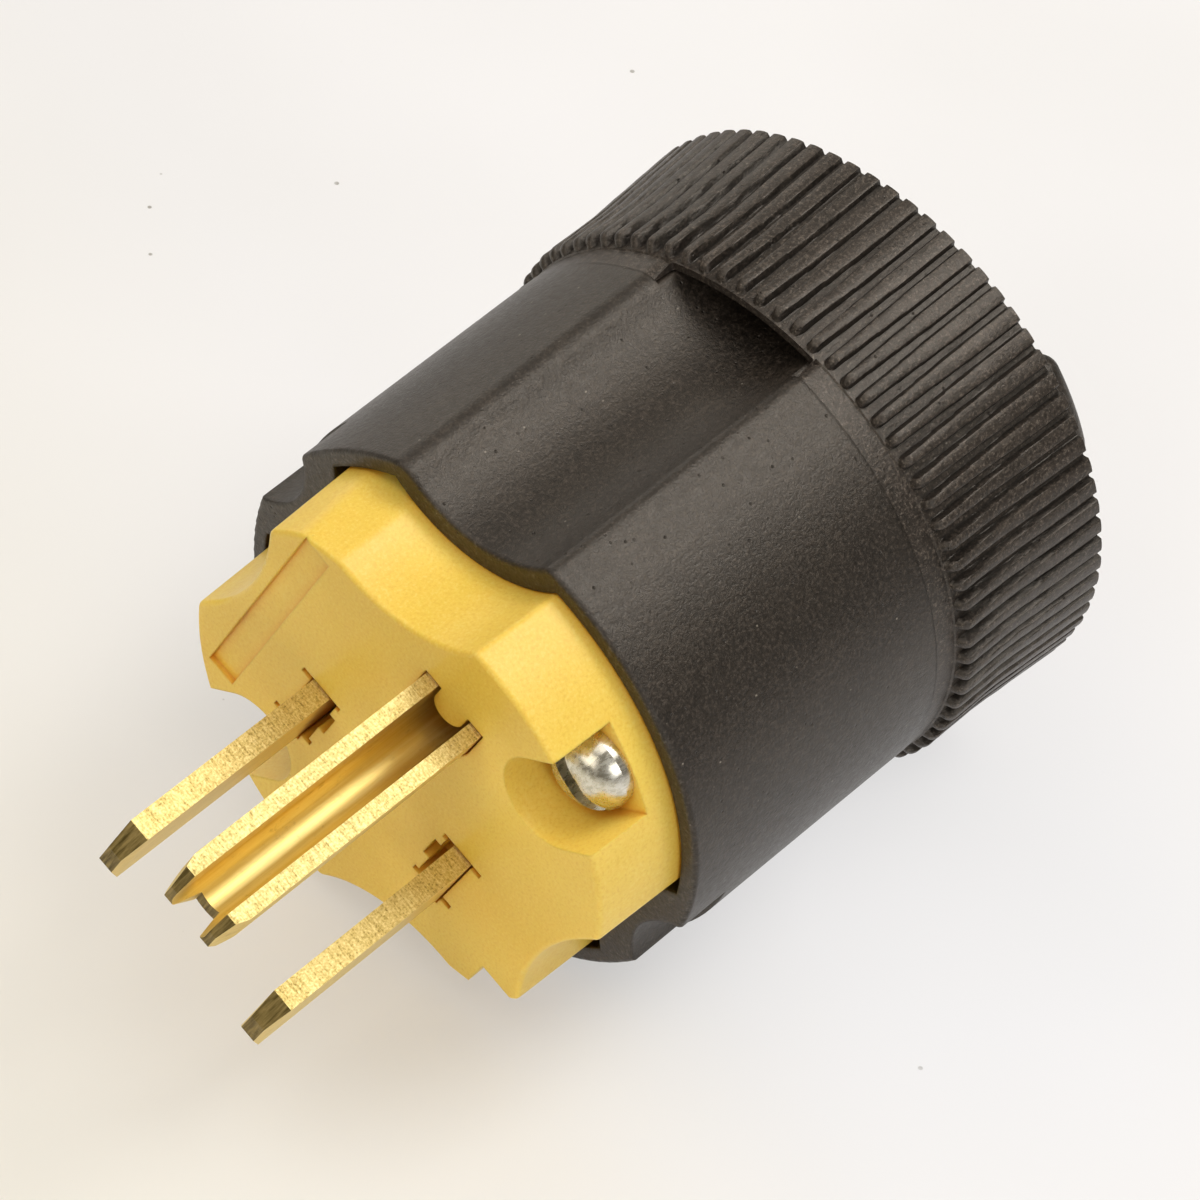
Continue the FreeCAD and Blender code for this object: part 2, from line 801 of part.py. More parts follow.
pieces = {
    "front_body": front_body(),
    "line_blade": blade(1),
    "neutral_blade": blade(-1),
    "ground_pin": ground_pin(),
    "line_wire_clamp": on_blade(wire_clamp(), 1),
    "neutral_wire_clamp": on_blade(wire_clamp(), -1),
    "ground_wire_clamp": on_ground(wire_clamp()),
    "line_terminal_screw": on_blade(terminal_screw(), 1),
    "neutral_terminal_screw": on_blade(terminal_screw(), -1),
    "ground_terminal_screw": on_ground(terminal_screw()),
    "terminal_cover": terminal_cover(),
    "dust_seal": dust_seal(),
    "wedge_ring": wedge_ring(),
    "cord_jaw_a": cord_jaw(),
    "cord_jaw_b": about_axis(cord_jaw(), 180),
    "assembly_screws": group(at_screws(assembly_screw)),
    "assembly_nuts": group(at_screws(assembly_nut)),
    "outer_shell": outer_shell(),
    "grip_collar": grip_collar(),
    "rear_cover": rear_cover(),
}

os.makedirs("parts", exist_ok=True)
for name, shape in pieces.items():
    lying = about_axis(shape, lie_turn)
    lying.exportStep("parts/" + name + ".step")
    print(name, "solids", len(lying.Solids), "valid", lying.isValid(), "volume", round(lying.Volume, 1))
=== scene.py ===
"""Looks of the wireable plug: moulded plastics, stamped brass pins and plated screws on pale card."""
import json
import math
import random

import bpy
from mathutils import Matrix, Vector, noise


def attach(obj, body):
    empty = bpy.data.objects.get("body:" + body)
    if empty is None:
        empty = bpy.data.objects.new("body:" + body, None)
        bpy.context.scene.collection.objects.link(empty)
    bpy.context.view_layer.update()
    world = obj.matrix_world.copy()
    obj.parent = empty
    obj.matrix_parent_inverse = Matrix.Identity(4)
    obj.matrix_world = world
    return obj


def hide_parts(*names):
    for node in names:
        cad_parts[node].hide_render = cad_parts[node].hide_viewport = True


MM = 0.001
SMOOTH_ANGLE = math.radians(32)
ROUND_ANGLE = math.radians(35)

# Small rounds on the stamped pieces' edges, in millimetres
EDGE_ROUNDS = {"line_blade": 0.18, "neutral_blade": 0.18, "ground_pin": 0.13}

# The grip collar, in millimetres: stations along X from the mating face, radii from the axis
COLLAR_FRONT = -27.4
COLLAR_WAIST = -33.4
COLLAR_BACK = -41.0
COLLAR_STATIONS = (COLLAR_FRONT, COLLAR_WAIST, COLLAR_BACK)
BASE_RADII = (18.04, 18.4, 18.95)
MIDDLE_RADIUS = 18.4
COLLAR_LAP = 0.1
COLLAR_SEAT = 17.6
COLLAR_INSIDE = ((COLLAR_BACK, 17.4), (-39.0, 17.4), (-39.0, 16.0), (-38.0, 16.0), (-38.0, COLLAR_SEAT),
                 (-29.0, COLLAR_SEAT))
REAR_ROUND_LENGTH = 0.05
REAR_ROUND_DEPTH = 0.06
STATION_GAP = 0.55
LAST_GAP = 0.4
BAND_SHARES = (1.0, 0.66, 0.33, 0.06)

# Its ribs
RIB_COUNT = 80
RIB_SEED = 80
RIB_PHASE = math.radians(65)
RIB_FRONT = -28.95
RIB_HEIGHTS = (0.75, 0.45, 0.4)
RIB_HALF_FRONT = 0.35
RIB_HALF_BACK = 0.5
RIB_LEAST_HALF = 0.05
RIB_WIDENING = 9
RIB_NOSE = 0.45
RIB_RISE = 0.75
RIB_WALL = 0.13
RIB_CROWN = 0.12
RIB_ASIDES = [0, 0.11, 0.2, 0.27, 0.32, 0.37, 0.42, 0.47, 0.52, 0.57, 0.64]
RIB_STEPS = [0, 0.03, 0.08, 0.14, 0.22, 0.32, 0.44, 0.58, 0.75, 1.0, 1.5, 2.2, 3.0, 4.0, 5.0, 6.0]
# Painted shade along the ribs' feet: its offset out from each wall, its width, and the length behind the
# nose over which it comes in
FOOT_SHADE_OFFSET = 0.6
FOOT_SHADE_WIDTH = 0.2
FOOT_SHADE_START = 0.3
WAVER_START = 0.5
WAVER_HEIGHT = 0.025
WAVER_PITCH = (0.9, 30, 0.37)

# The shell's hollows, which the collar bridges, and the rounds of their ridges: angle, centre, radius
HOLLOW_MIDDLE = math.radians(90)
HOLLOW_HALF = math.radians(17.9)
HOLLOW_EASE = math.radians(0.5)
HOLLOW_LIP = 0.14
RIDGES = ((math.radians(20.12), 17.2, 0.8), (math.radians(21.67), 16.4, 1.6))
RIDGE_COVER = 0.04

# Directions in the pins' own turned frame, and the heights of their sheared edges
AHEAD = (1, 0, 0)
PIN_TURN = math.radians(25)
EDGE_WAY = (0, math.sin(PIN_TURN), math.cos(PIN_TURN))
SIDE_WAY = (0, math.cos(PIN_TURN), -math.sin(PIN_TURN))
BLADE_TOP = -0.445
GROUND_TOP = 10.65
TOP_NEAR = 0.4
TOP_FAR = 0.6

# The plug rests on its collar and its shell's rim, so the card leans against its axis
CARD_TILT = math.radians(4.7)
CARD_TOUCH = Vector((-28.3, 0, -18.93)) * MM
CARD_SIZE = 3.0
# Painted warm shade on the card toward the side where the plug's shadow falls, then painted shade on the
# card away from the plug, in millimetres
WARM_SHADE_WAY = (1, -0.35, 0)
WARM_SHADE_REACH = (10, 75)
FAR_SHADE_REACH = (85, 240)
HALO_CENTRE = (0, 22, 0)
HALO_REACH = (10, 34)
HALO_GLOW = (0.8, 0.4)

# Lamps: name, direction, distance and side in metres, watts, colour
LAMP_AIM = Vector((-12, 0, 0)) * MM
LAMPS = (
    ("key", (-0.5, 0.34, 0.8), 0.55, 0.26, 1.35, (1.0, 0.98, 0.94)),
    ("overhead", (0.1, -0.1, 1.0), 0.9, 1.0, 4.3, (1.0, 0.95, 0.89)),
    ("side", (0.3, 0.9, 0.35), 0.5, 0.2, 0.4, (1.0, 1.0, 1.0)),
    ("window", (-0.5, -0.85, 0.25), 0.6, 0.35, 0.48, (1.0, 0.95, 0.87)),
    ("front", (0.85, 0.0, 0.5), 0.7, 0.4, 0.95, (1.0, 0.93, 0.82)),
)
WORLD_COLOUR = (1.0, 0.92, 0.8, 1)
WORLD_STRENGTH = 0.24

CAMERA_PLACE = Vector((0.16326, 0.15316, 0.27241))
CAMERA_RIGHT = Vector((-0.67958, 0.73254, 0.03925))
CAMERA_UP = Vector((-0.53542, -0.53184, 0.65608))
CAMERA_SENSOR = 36.0
CAMERA_LENS = 181.918
CAMERA_CLIP = (0.01, 10.0)

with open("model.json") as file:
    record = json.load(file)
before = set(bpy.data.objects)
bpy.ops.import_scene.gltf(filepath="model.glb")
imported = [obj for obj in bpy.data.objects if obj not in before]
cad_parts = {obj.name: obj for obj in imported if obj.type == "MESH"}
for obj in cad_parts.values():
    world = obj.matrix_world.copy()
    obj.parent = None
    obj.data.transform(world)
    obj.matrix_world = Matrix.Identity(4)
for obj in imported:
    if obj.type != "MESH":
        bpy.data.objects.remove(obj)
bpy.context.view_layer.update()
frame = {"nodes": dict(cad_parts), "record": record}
nodes = frame["nodes"]
scene = bpy.context.scene


def linear(r, g, b):
    """A colour from 0-255 screen values."""
    out = []
    for value in (r, g, b):
        share = value / 255
        out.append(share / 12.92 if share <= 0.04045 else ((share + 0.055) / 1.055) ** 2.4)
    return (*out, 1.0)


# Tones of the marks on each material, and of the painted shade on some
DEEP_GRAIN = linear(11, 9, 7)
PIT = linear(10, 8, 7)
LINT = linear(150, 142, 130)
TORN_RIM = linear(112, 106, 98)
GRIT = linear(122, 112, 102)
# Painted shade along the feet of the collar's ribs
RIB_FOOT_SHADE = linear(10, 9, 8)
SOFT_TINT = (1.0, 0.92, 0.83, 1.0)
NYLON_SPECK = linear(120, 84, 30)
NYLON_LIGHT = linear(254, 232, 140)
NYLON_DEEP = linear(222, 172, 56)
# Painted orange shade in the nylon's crevices
NYLON_CREVICE_SHADE = linear(232, 158, 30)
NYLON_DEPTHS = (1.0, 0.55, 0.2)
BRASS_FLAT = linear(228, 201, 120), linear(240, 218, 148)
BRASS_EDGE = linear(160, 138, 80), linear(216, 194, 124), linear(240, 224, 164)
# Cut ends of the pins: dull, and darkened further with painted shade
BRASS_DULL_SHADED_END = linear(94, 80, 44), linear(164, 144, 92)
TARNISH = linear(120, 96, 52)
CARD_TONES = linear(242, 241, 241), linear(247, 246, 247)
# Painted shade on the card: warm toward the plug's shadow, dark away from the plug
CARD_WARM_SHADE = linear(236, 231, 214)
CARD_FAR_SHADE = linear(90, 85, 79)
DUST = linear(130, 122, 106)
PALE_SKY = linear(244, 242, 240)


class Nodes:
    """A small helper to wire a material's nodes. Lengths on textures are in millimetres."""

    def __init__(self, name):
        self.material = bpy.data.materials.new(name)
        self.material.use_nodes = True
        self.tree = self.material.node_tree
        self.shader = self.tree.nodes["Principled BSDF"]

    def add(self, kind, values=None, **settings):
        """A new node with its settings and the fixed values of its inputs."""
        node = self.tree.nodes.new(kind)
        for key, value in settings.items():
            setattr(node, key, value)
        for key, value in (values or {}).items():
            node.inputs[key].default_value = value
        return node

    def link(self, output, target):
        """A wire from an output to an input."""
        self.tree.links.new(output, target)

    def put(self, value, target):
        """A fixed value or an output on an input."""
        if isinstance(value, (int, float, tuple)):
            target.default_value = value
        else:
            self.link(value, target)

    def plain(self, **values):
        """Fixed values on the shader, by socket name with underscores for spaces."""
        for key, value in values.items():
            self.shader.inputs[key.replace("_", " ")].default_value = value

    def colour(self, output):
        """The shader's colour."""
        self.link(output, self.shader.inputs["Base Color"])

    def roughness(self, output):
        """The shader's roughness."""
        self.link(output, self.shader.inputs["Roughness"])

    def place(self, scale=(1, 1, 1)):
        """Object coordinates in millimetres, stretched by scale."""
        coord = self.add("ShaderNodeTexCoord")
        mapping = self.add("ShaderNodeMapping", {"Scale": [s / MM for s in scale]})
        self.link(coord.outputs["Object"], mapping.inputs["Vector"])
        return mapping.outputs["Vector"]

    def along(self, place, way):
        """Distance along a direction."""
        node = self.add("ShaderNodeVectorMath", operation="DOT_PRODUCT")
        node.inputs[1].default_value = way
        self.link(place, node.inputs[0])
        return node.outputs["Value"]

    def away(self, place, centre):
        """Distance from a point."""
        node = self.add("ShaderNodeVectorMath", operation="DISTANCE")
        node.inputs[1].default_value = centre
        self.link(place, node.inputs[0])
        return node.outputs["Value"]

    def joined(self, x, y, z):
        """A place from three distances."""
        node = self.add("ShaderNodeCombineXYZ")
        for socket, value in zip(node.inputs, (x, y, z)):
            self.link(value, socket)
        return node.outputs["Vector"]

    def noise(self, place, scale, detail=3.0, rough=0.5):
        """Cloudy noise around 0.5."""
        node = self.add("ShaderNodeTexNoise", {"Scale": scale, "Detail": detail, "Roughness": rough})
        self.link(place, node.inputs["Vector"])
        return node.outputs["Fac"]

    def dots(self, place, scale):
        """Distance to scattered points."""
        node = self.add("ShaderNodeTexVoronoi", {"Scale": scale})
        self.link(place, node.inputs["Vector"])
        return node.outputs["Distance"]

    def facing(self, way, low, high):
        """1 where the surface faces a direction, 0 elsewhere."""
        coord = self.add("ShaderNodeTexCoord")
        return self.span(self.along(coord.outputs["Normal"], way), low, high, 0, 1)

    def attribute(self, name):
        """A value that the mesh carries at its points."""
        return self.add("ShaderNodeAttribute", attribute_name=name).outputs["Fac"]

    def ramp(self, value, *stops):
        """A colour from stops of position and colour."""
        node = self.add("ShaderNodeValToRGB")
        ramp = node.color_ramp
        ramp.elements[0].position, ramp.elements[0].color = stops[0]
        ramp.elements[1].position, ramp.elements[1].color = stops[-1]
        for position, colour in stops[1:-1]:
            ramp.elements.new(position).color = colour
        self.link(value, node.inputs["Fac"])
        return node.outputs["Color"]

    def span(self, value, low, high, to_low, to_high):
        """The range from low to high stretched to another range, with its ends held."""
        limits = {"From Min": low, "From Max": high, "To Min": to_low, "To Max": to_high}
        node = self.add("ShaderNodeMapRange", limits)
        self.link(value, node.inputs["Value"])
        return node.outputs["Result"]

    def math(self, operation, first, second):
        """A sum on two values; each is an output or a number."""
        node = self.add("ShaderNodeMath", operation=operation)
        for socket, value in zip(node.inputs, (first, second)):
            self.put(value, socket)
        return node.outputs["Value"]

    def mixed(self, share, first, second):
        """Two colours mixed by a share; each colour is an output or a fixed one."""
        node = self.add("ShaderNodeMix", data_type="RGBA", blend_type="MIX")
        sockets = [s for s in node.inputs if s.type == "RGBA"]
        for socket, value in zip(sockets, (first, second)):
            self.put(value, socket)
        self.link(share, node.inputs["Factor"])
        return [s for s in node.outputs if s.type == "RGBA"][0]

    def tinted(self, tone, value, onset, most, colour):
        """A tone moved toward a colour, by none to most of it as a value crosses the onset."""
        return self.mixed(self.span(value, *onset, 0, most), tone, colour)

    def flecks(self, points, size, patches, onset, most=1):
        """Shares for small marks at scattered points, in the patches that a noise picks."""
        return self.math("MULTIPLY", self.span(points, *size, 1, 0), self.span(patches, *onset, 0, most))

    def bump(self, height, strength, depth, before=None):
        """A bump on the shader, over the normal of the one before."""
        node = self.add("ShaderNodeBump", {"Strength": strength, "Distance": depth * MM})
        self.link(height, node.inputs["Height"])
        if before is not None:
            self.link(before, node.inputs["Normal"])
        self.link(node.outputs["Normal"], self.shader.inputs["Normal"])
        return node.outputs["Normal"]

    def rounded(self, radius):
        """The normal of softened edges."""
        return self.add("ShaderNodeBevel", {"Radius": radius * MM}, samples=4).outputs["Normal"]


def soft_moulding(name, low, high, scuff, ribbed=False):
    """Dark soft plastic: blotches, streaks along the axis, pale scuffs, fine pits and a leathery grain;
    ribbed, it also takes pale grit and painted shade along the ribs' feet.
    """
    n = Nodes(name)
    place = n.place()
    along = n.place((0.1, 1, 1))
    blotch = n.noise(place, 0.16, 5.0, 0.6)
    streak = n.noise(along, 1.1, 4.0, 0.6)
    both = n.math("ADD", n.math("MULTIPLY", blotch, 0.6), n.math("MULTIPLY", streak, 0.4))
    tone = n.ramp(both, (0.36, low), (0.64, high))
    scrape = n.math("MULTIPLY", n.span(n.noise(along, 1.4, 4.0, 0.7), 0.5, 0.78, 0, 0.6),
                    n.span(blotch, 0.46, 0.62, 0, 1))
    tone = n.mixed(scrape, tone, scuff)
    fine = n.noise(place, 4.6, 3.0, 0.75)
    tone = n.tinted(tone, fine, (0.52, 0.66), 0.7, scuff)
    tone = n.tinted(tone, fine, (0.5, 0.36), 0.8, DEEP_GRAIN)
    pits = n.flecks(n.dots(place, 1.3), (0.05, 0.14), n.noise(place, 0.45, 2.0), (0.46, 0.54))
    tone = n.mixed(n.math("MULTIPLY", pits, 0.7), tone, PIT)
    lint = n.flecks(n.dots(n.place((0.8, 1.1, 1)), 0.9), (0.02, 0.075),
                    n.noise(place, 0.8, 1.0), (0.5, 0.58), 0.8)
    tone = n.mixed(lint, tone, LINT)
    torn = n.span(n.noise(place, 3.4, 4.0, 0.75), 0.55, 0.68, 0, 0.45)
    tone = n.mixed(n.math("MULTIPLY", n.facing(AHEAD, 0.5, 0.8), torn), tone, TORN_RIM)
    if ribbed:
        tone = n.tinted(tone, n.noise(place, 4.2, 3.0, 0.8), (0.57, 0.66), 0.55, GRIT)
        # Painted shade: near-black along the feet of the ribs, where their walls meet the collar
        tone = n.mixed(n.math("MULTIPLY", n.attribute("painted_foot_shade"), 0.8), tone, RIB_FOOT_SHADE)
    n.colour(tone)
    grain = n.noise(place, 2.2, 4.0, 0.62)
    n.roughness(n.span(n.math("ADD", grain, fine), 0.75, 1.25, 0.34, 0.48))
    n.plain(Specular_IOR_Level=0.66, Specular_Tint=SOFT_TINT)
    normal = None if ribbed else n.rounded(0.35)
    normal = n.bump(grain, 0.5, 0.06, normal)
    normal = n.bump(fine, 0.7, 0.06, normal)
    normal = n.bump(streak, 0.25, 0.05, normal)
    n.bump(n.math("SUBTRACT", 1.0, pits), 0.7, 0.07, normal)
    return n.material


def hard_moulding(name, low, high, rough, soft=0.0):
    """Hard plastic with a slow colour drift and a fine skin; light sinks into it where soft is given, and
    there its crevices take a painted orange shade.
    """
    n = Nodes(name)
    place = n.place()
    tone = n.ramp(n.noise(place, 0.1, 4.0), (0.35, low), (0.65, high))
    specks = n.flecks(n.dots(place, 0.5), (0.015, 0.04), n.noise(place, 0.5, 1.0), (0.52, 0.6), 0.5)
    tone = n.mixed(specks, tone, NYLON_SPECK)
    skin = n.noise(place, 1.6, 3.0, 0.5)
    if soft:
        fine = n.noise(place, 4.5, 3.0, 0.7)
        tone = n.tinted(tone, fine, (0.52, 0.68), 0.3, NYLON_LIGHT)
        tone = n.tinted(tone, fine, (0.48, 0.34), 0.3, NYLON_DEEP)
        # Painted shade: an orange tone where nearby surfaces hem the nylon in, in creases and crevices
        crevice_shade = n.add("ShaderNodeAmbientOcclusion", {"Distance": 0.7 * MM}, samples=4)
        tone = n.tinted(tone, crevice_shade.outputs["AO"], (0.85, 0.4), 0.75, NYLON_CREVICE_SHADE)
        skin = n.math("ADD", skin, n.math("MULTIPLY", fine, 0.5))
        n.plain(Subsurface_Weight=soft, Subsurface_Radius=NYLON_DEPTHS, Subsurface_Scale=0.9 * MM)
    n.colour(tone)
    n.roughness(n.span(skin, 0.3, 0.7, rough - 0.05, rough + 0.05))
    n.bump(skin, 0.4, 0.03, n.rounded(0.2))
    return n.material


def stamped_metal(name, low, high, stain, rough):
    """Plain plated or turned metal with fine streaks and a few dull patches."""
    n = Nodes(name)
    n.plain(Metallic=1.0)
    streak = n.noise(n.place((0.5, 2, 2)), 1.6, 4.0, 0.6)
    tone = n.ramp(streak, (0.38, low), (0.6, high))
    n.colour(n.tinted(tone, n.noise(n.place(), 0.7, 2.0, 0.5), (0.58, 0.74), 0.25, stain))
    n.roughness(n.span(streak, 0.35, 0.65, rough - 0.05, rough + 0.07))
    n.bump(streak, 0.12, 0.02)
    return n.material


def pin_brass():
    """Rolled brass sheet: smooth flats, sheared edges with cross marks, and dull cut ends that also carry
    painted shade.
    """
    n = Nodes("brass")
    n.plain(Metallic=1.0)
    place = n.place()
    up = n.along(place, EDGE_WAY)
    across = n.along(place, SIDE_WAY)
    ahead = n.along(place, AHEAD)
    off_blade_top = n.math("ABSOLUTE", n.math("SUBTRACT", up, BLADE_TOP), 0)
    tops = n.math("MAXIMUM", n.span(up, GROUND_TOP - TOP_FAR, GROUND_TOP - TOP_NEAR, 0, 1),
                  n.span(off_blade_top, TOP_NEAR, TOP_FAR, 1, 0))
    edge_mask = n.math("MULTIPLY", n.facing(EDGE_WAY, 0.8, 0.93), tops)
    dull_shaded_end_mask = n.facing(AHEAD, 0.3, 0.55)
    cut_mask = n.math("MAXIMUM", edge_mask, dull_shaded_end_mask)

    streak = n.noise(n.place((0.1, 3, 3)), 1.2, 4.0, 0.6)
    flat = n.ramp(streak, (0.35, BRASS_FLAT[0]), (0.62, BRASS_FLAT[1]))
    marks = n.noise(n.place((5.0, 0.7, 0.7)), 1.5, 3.0, 0.6)
    specks = n.noise(place, 7.0, 2.0, 0.6)
    shear = n.math("ADD", n.math("MULTIPLY", marks, 0.45), n.math("MULTIPLY", specks, 0.55))
    edge = n.ramp(shear, (0.32, BRASS_EDGE[0]), (0.45, BRASS_EDGE[1]), (0.62, BRASS_EDGE[2]))
    stretched = n.joined(ahead, n.math("MULTIPLY", across, 6.0), n.math("MULTIPLY", up, 0.5))
    cut = n.noise(stretched, 0.9, 3.0, 0.55)
    # The cut ends, facing ahead: partly their dull sheared finish, partly painted shade in their colour
    dull_shaded_end = n.ramp(cut, (0.32, BRASS_DULL_SHADED_END[0]), (0.68, BRASS_DULL_SHADED_END[1]))
    tone = n.mixed(dull_shaded_end_mask, n.mixed(edge_mask, flat, edge), dull_shaded_end)
    n.colour(n.tinted(tone, n.noise(n.place((0.6, 1, 1)), 1.5, 5.0, 0.75), (0.58, 0.78), 0.4, TARNISH))

    rough = n.add("ShaderNodeMix", data_type="FLOAT")
    n.link(cut_mask, rough.inputs[0])
    n.link(n.span(streak, 0.35, 0.65, 0.42, 0.54), rough.inputs[2])
    n.link(n.span(shear, 0.35, 0.65, 0.6, 0.46), rough.inputs[3])
    n.roughness(rough.outputs[0])
    normal = n.bump(n.math("MULTIPLY", shear, cut_mask), 0.5, 0.1)
    n.bump(streak, 0.2, 0.02, normal)
    return n.material


# How each kind of material is made, then its slots: two tones, then what else the kind takes
MAKERS = (
    (soft_moulding, {
        "shell_grey": (linear(26, 21, 17), linear(39, 33, 27), linear(72, 64, 57)),
        "collar_grey": (linear(31, 26, 22), linear(45, 38, 33), linear(88, 79, 71), True),
    }),
    (hard_moulding, {
        "yellow_nylon": (linear(241, 204, 82), linear(250, 216, 98), 0.36, 0.2),
        "dark_nylon": (linear(36, 36, 36), linear(46, 46, 46), 0.5),
        "clear_plastic": (linear(200, 200, 196), linear(212, 212, 208), 0.3),
        "seal_rubber": (linear(26, 26, 26), linear(34, 34, 34), 0.7),
    }),
    (stamped_metal, {
        "brass_screw": (linear(196, 150, 66), linear(226, 190, 108), linear(120, 90, 40), 0.3),
        "plated_steel": (linear(200, 196, 180), linear(232, 229, 218), linear(150, 140, 104), 0.26),
        "green_screw": (linear(40, 110, 60), linear(52, 128, 74), linear(24, 70, 36), 0.35),
    }),
)
paints = {slot: maker(slot, *values) for maker, slots in MAKERS for slot, values in slots.items()}
paints["brass"] = pin_brass()


def between(x, stations, values):
    """Straight steps between stations that fall along X."""
    for left, right, first, second in zip(stations, stations[1:], values, values[1:]):
        if x >= right or right == stations[-1]:
            share = min(1, max(0, (left - x) / (left - right)))
            return first + share * (second - first)


def eased(share):
    """A smooth step from 0 to 1."""
    share = min(1, max(0, share))
    return share * share * (3 - 2 * share)


def front_edge(angle):
    """Station of the collar's front edge and greatest radius of the smooth band behind it.

    Beside the hollows the band follows the shell's ridges, and over them the edge stays back.
    """
    off = math.remainder(angle - HOLLOW_MIDDLE, math.pi)
    open_share = 1 - eased((abs(off) - HOLLOW_HALF) / HOLLOW_EASE)
    turn, centre, bend = RIDGES[off > 0]
    aside = max(0.0, turn - abs(off))
    rest = max(0.0, bend ** 2 - (centre * math.sin(aside)) ** 2)
    ridge = max(centre * math.cos(aside) + math.sqrt(rest), COLLAR_SEAT) + RIDGE_COVER
    front = COLLAR_FRONT + COLLAR_LAP
    return (front + open_share * (RIB_FRONT + HOLLOW_LIP - front),
            ridge + open_share * (MIDDLE_RADIUS - ridge))


def rib_lift(x, aside, rib):
    """A rib's height over the collar's base and its share of painted shade along the feet of its walls, at
    a station and a distance aside.
    """
    behind = RIB_FRONT - rib["start"] - x
    if behind <= 0:
        return 0.0, 0.0
    half = RIB_HALF_FRONT + (RIB_HALF_BACK - RIB_HALF_FRONT) * eased(behind / RIB_WIDENING)
    if behind < RIB_NOSE:
        half *= math.sqrt(1 - (1 - behind / RIB_NOSE) ** 2)
    off = abs(aside - rib["shift"])
    wall = eased((half + RIB_WALL / 2 - off) / RIB_WALL)
    rise = math.sqrt(1 - (1 - min(1, behind / RIB_RISE)) ** 2)
    height = between(x, (RIB_FRONT, COLLAR_WAIST, COLLAR_BACK), RIB_HEIGHTS) * rib["height"]
    across = off / max(half, RIB_LEAST_HALF) if off < half else 1
    crown = 1 - RIB_CROWN * across ** 2
    foot_shade = 1 - eased(abs(off - half - RIB_WALL * FOOT_SHADE_OFFSET) / FOOT_SHADE_WIDTH)
    return height * rise * wall * crown, foot_shade * min(1, behind / FOOT_SHADE_START)


def collar_stations():
    """Stations behind the ribs' front: close at the noses, even over the rest, and a round at the rear."""
    stations = [RIB_FRONT - step for step in RIB_STEPS]
    while stations[-1] > COLLAR_BACK + LAST_GAP:
        stations.append(stations[-1] - STATION_GAP)
    stations[-1] = COLLAR_BACK + REAR_ROUND_LENGTH
    return stations + [COLLAR_BACK]


def collar_column(angle, aside, index, rib, stations):
    """Stations, radii and shares of painted shade along the ribs' feet round the collar's section at one
    angle.
    """
    edge, greatest = front_edge(angle)
    column = []
    for x in [RIB_FRONT + share * (edge - RIB_FRONT) for share in BAND_SHARES] + stations:
        lift, foot_shade = rib_lift(x, aside, rib)
        radius = between(x, COLLAR_STATIONS, BASE_RADII) + lift
        if x > RIB_FRONT:
            radius = min(radius, greatest)
        if x < RIB_FRONT - WAVER_START:
            place = [value * pitch for value, pitch in zip((x, angle, index), WAVER_PITCH)]
            radius += noise.noise(Vector(place)) * WAVER_HEIGHT
        if x == COLLAR_BACK:
            radius -= REAR_ROUND_DEPTH
        column.append((x, radius, foot_shade))
    return column + [(x, radius, 0.0) for x, radius in (*COLLAR_INSIDE, (edge, COLLAR_SEAT))]


def grip_collar():
    """The ribbed collar: ribs with round noses that rise from a surface flush with the shell."""
    rng = random.Random(RIB_SEED)
    pitch = 2 * math.pi / RIB_COUNT
    asides = [-pitch * MIDDLE_RADIUS / 2] + [-aside for aside in RIB_ASIDES[:0:-1]] + RIB_ASIDES
    stations = collar_stations()
    verts, foot_shades = [], []
    for index in range(RIB_COUNT):
        rib = {"start": rng.uniform(0.0, 0.12), "shift": rng.uniform(-0.025, 0.025),
               "height": rng.uniform(0.93, 1.04)}
        for aside in asides:
            angle = RIB_PHASE + index * pitch + aside / MIDDLE_RADIUS
            for x, radius, foot_shade in collar_column(angle, aside, index, rib, stations):
                verts.append((x * MM, radius * math.cos(angle) * MM, radius * math.sin(angle) * MM))
                foot_shades.append(foot_shade)
    columns = RIB_COUNT * len(asides)
    ring = len(verts) // columns
    faces = []
    for column in range(columns):
        here = column * ring
        there = (column + 1) % columns * ring
        for row in range(ring):
            after = (row + 1) % ring
            faces.append((here + row, there + row, there + after, here + after))
    mesh = bpy.data.meshes.new("ribbed_collar")
    mesh.from_pydata(verts, [], faces)
    # Each point's share of painted shade along the ribs' feet, for the collar's material
    mesh.attributes.new("painted_foot_shade", "FLOAT", "POINT").data.foreach_set("value", foot_shades)
    obj = bpy.data.objects.new("ribbed_collar", mesh)
    scene.collection.objects.link(obj)
    mesh.materials.append(paints["collar_grey"])
    smooth(obj)
    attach(obj, "root")
    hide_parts("grip_collar")


def smooth(obj):
    """Smooth shading with sharp edges kept by angle."""
    mesh = obj.data
    mesh.polygons.foreach_set("use_smooth", [True] * len(mesh.polygons))
    mesh.set_sharp_from_angle(angle=SMOOTH_ANGLE)
    mesh.update()


def dress_nodes():
    """Paint every CAD piece from its slot, and round the stamped pieces' edges."""
    slots = {entry["node"]: entry["material_slot"] for entry in frame["record"]["subparts"]}
    for name, obj in nodes.items():
        obj.data.materials.clear()
        obj.data.materials.append(paints[slots[name]])
        smooth(obj)
    for name, width in EDGE_ROUNDS.items():
        bevel = nodes[name].modifiers.new("edge_round", "BEVEL")
        bevel.width = width * MM
        bevel.segments = 2
        bevel.limit_method = "ANGLE"
        bevel.angle_limit = ROUND_ANGLE


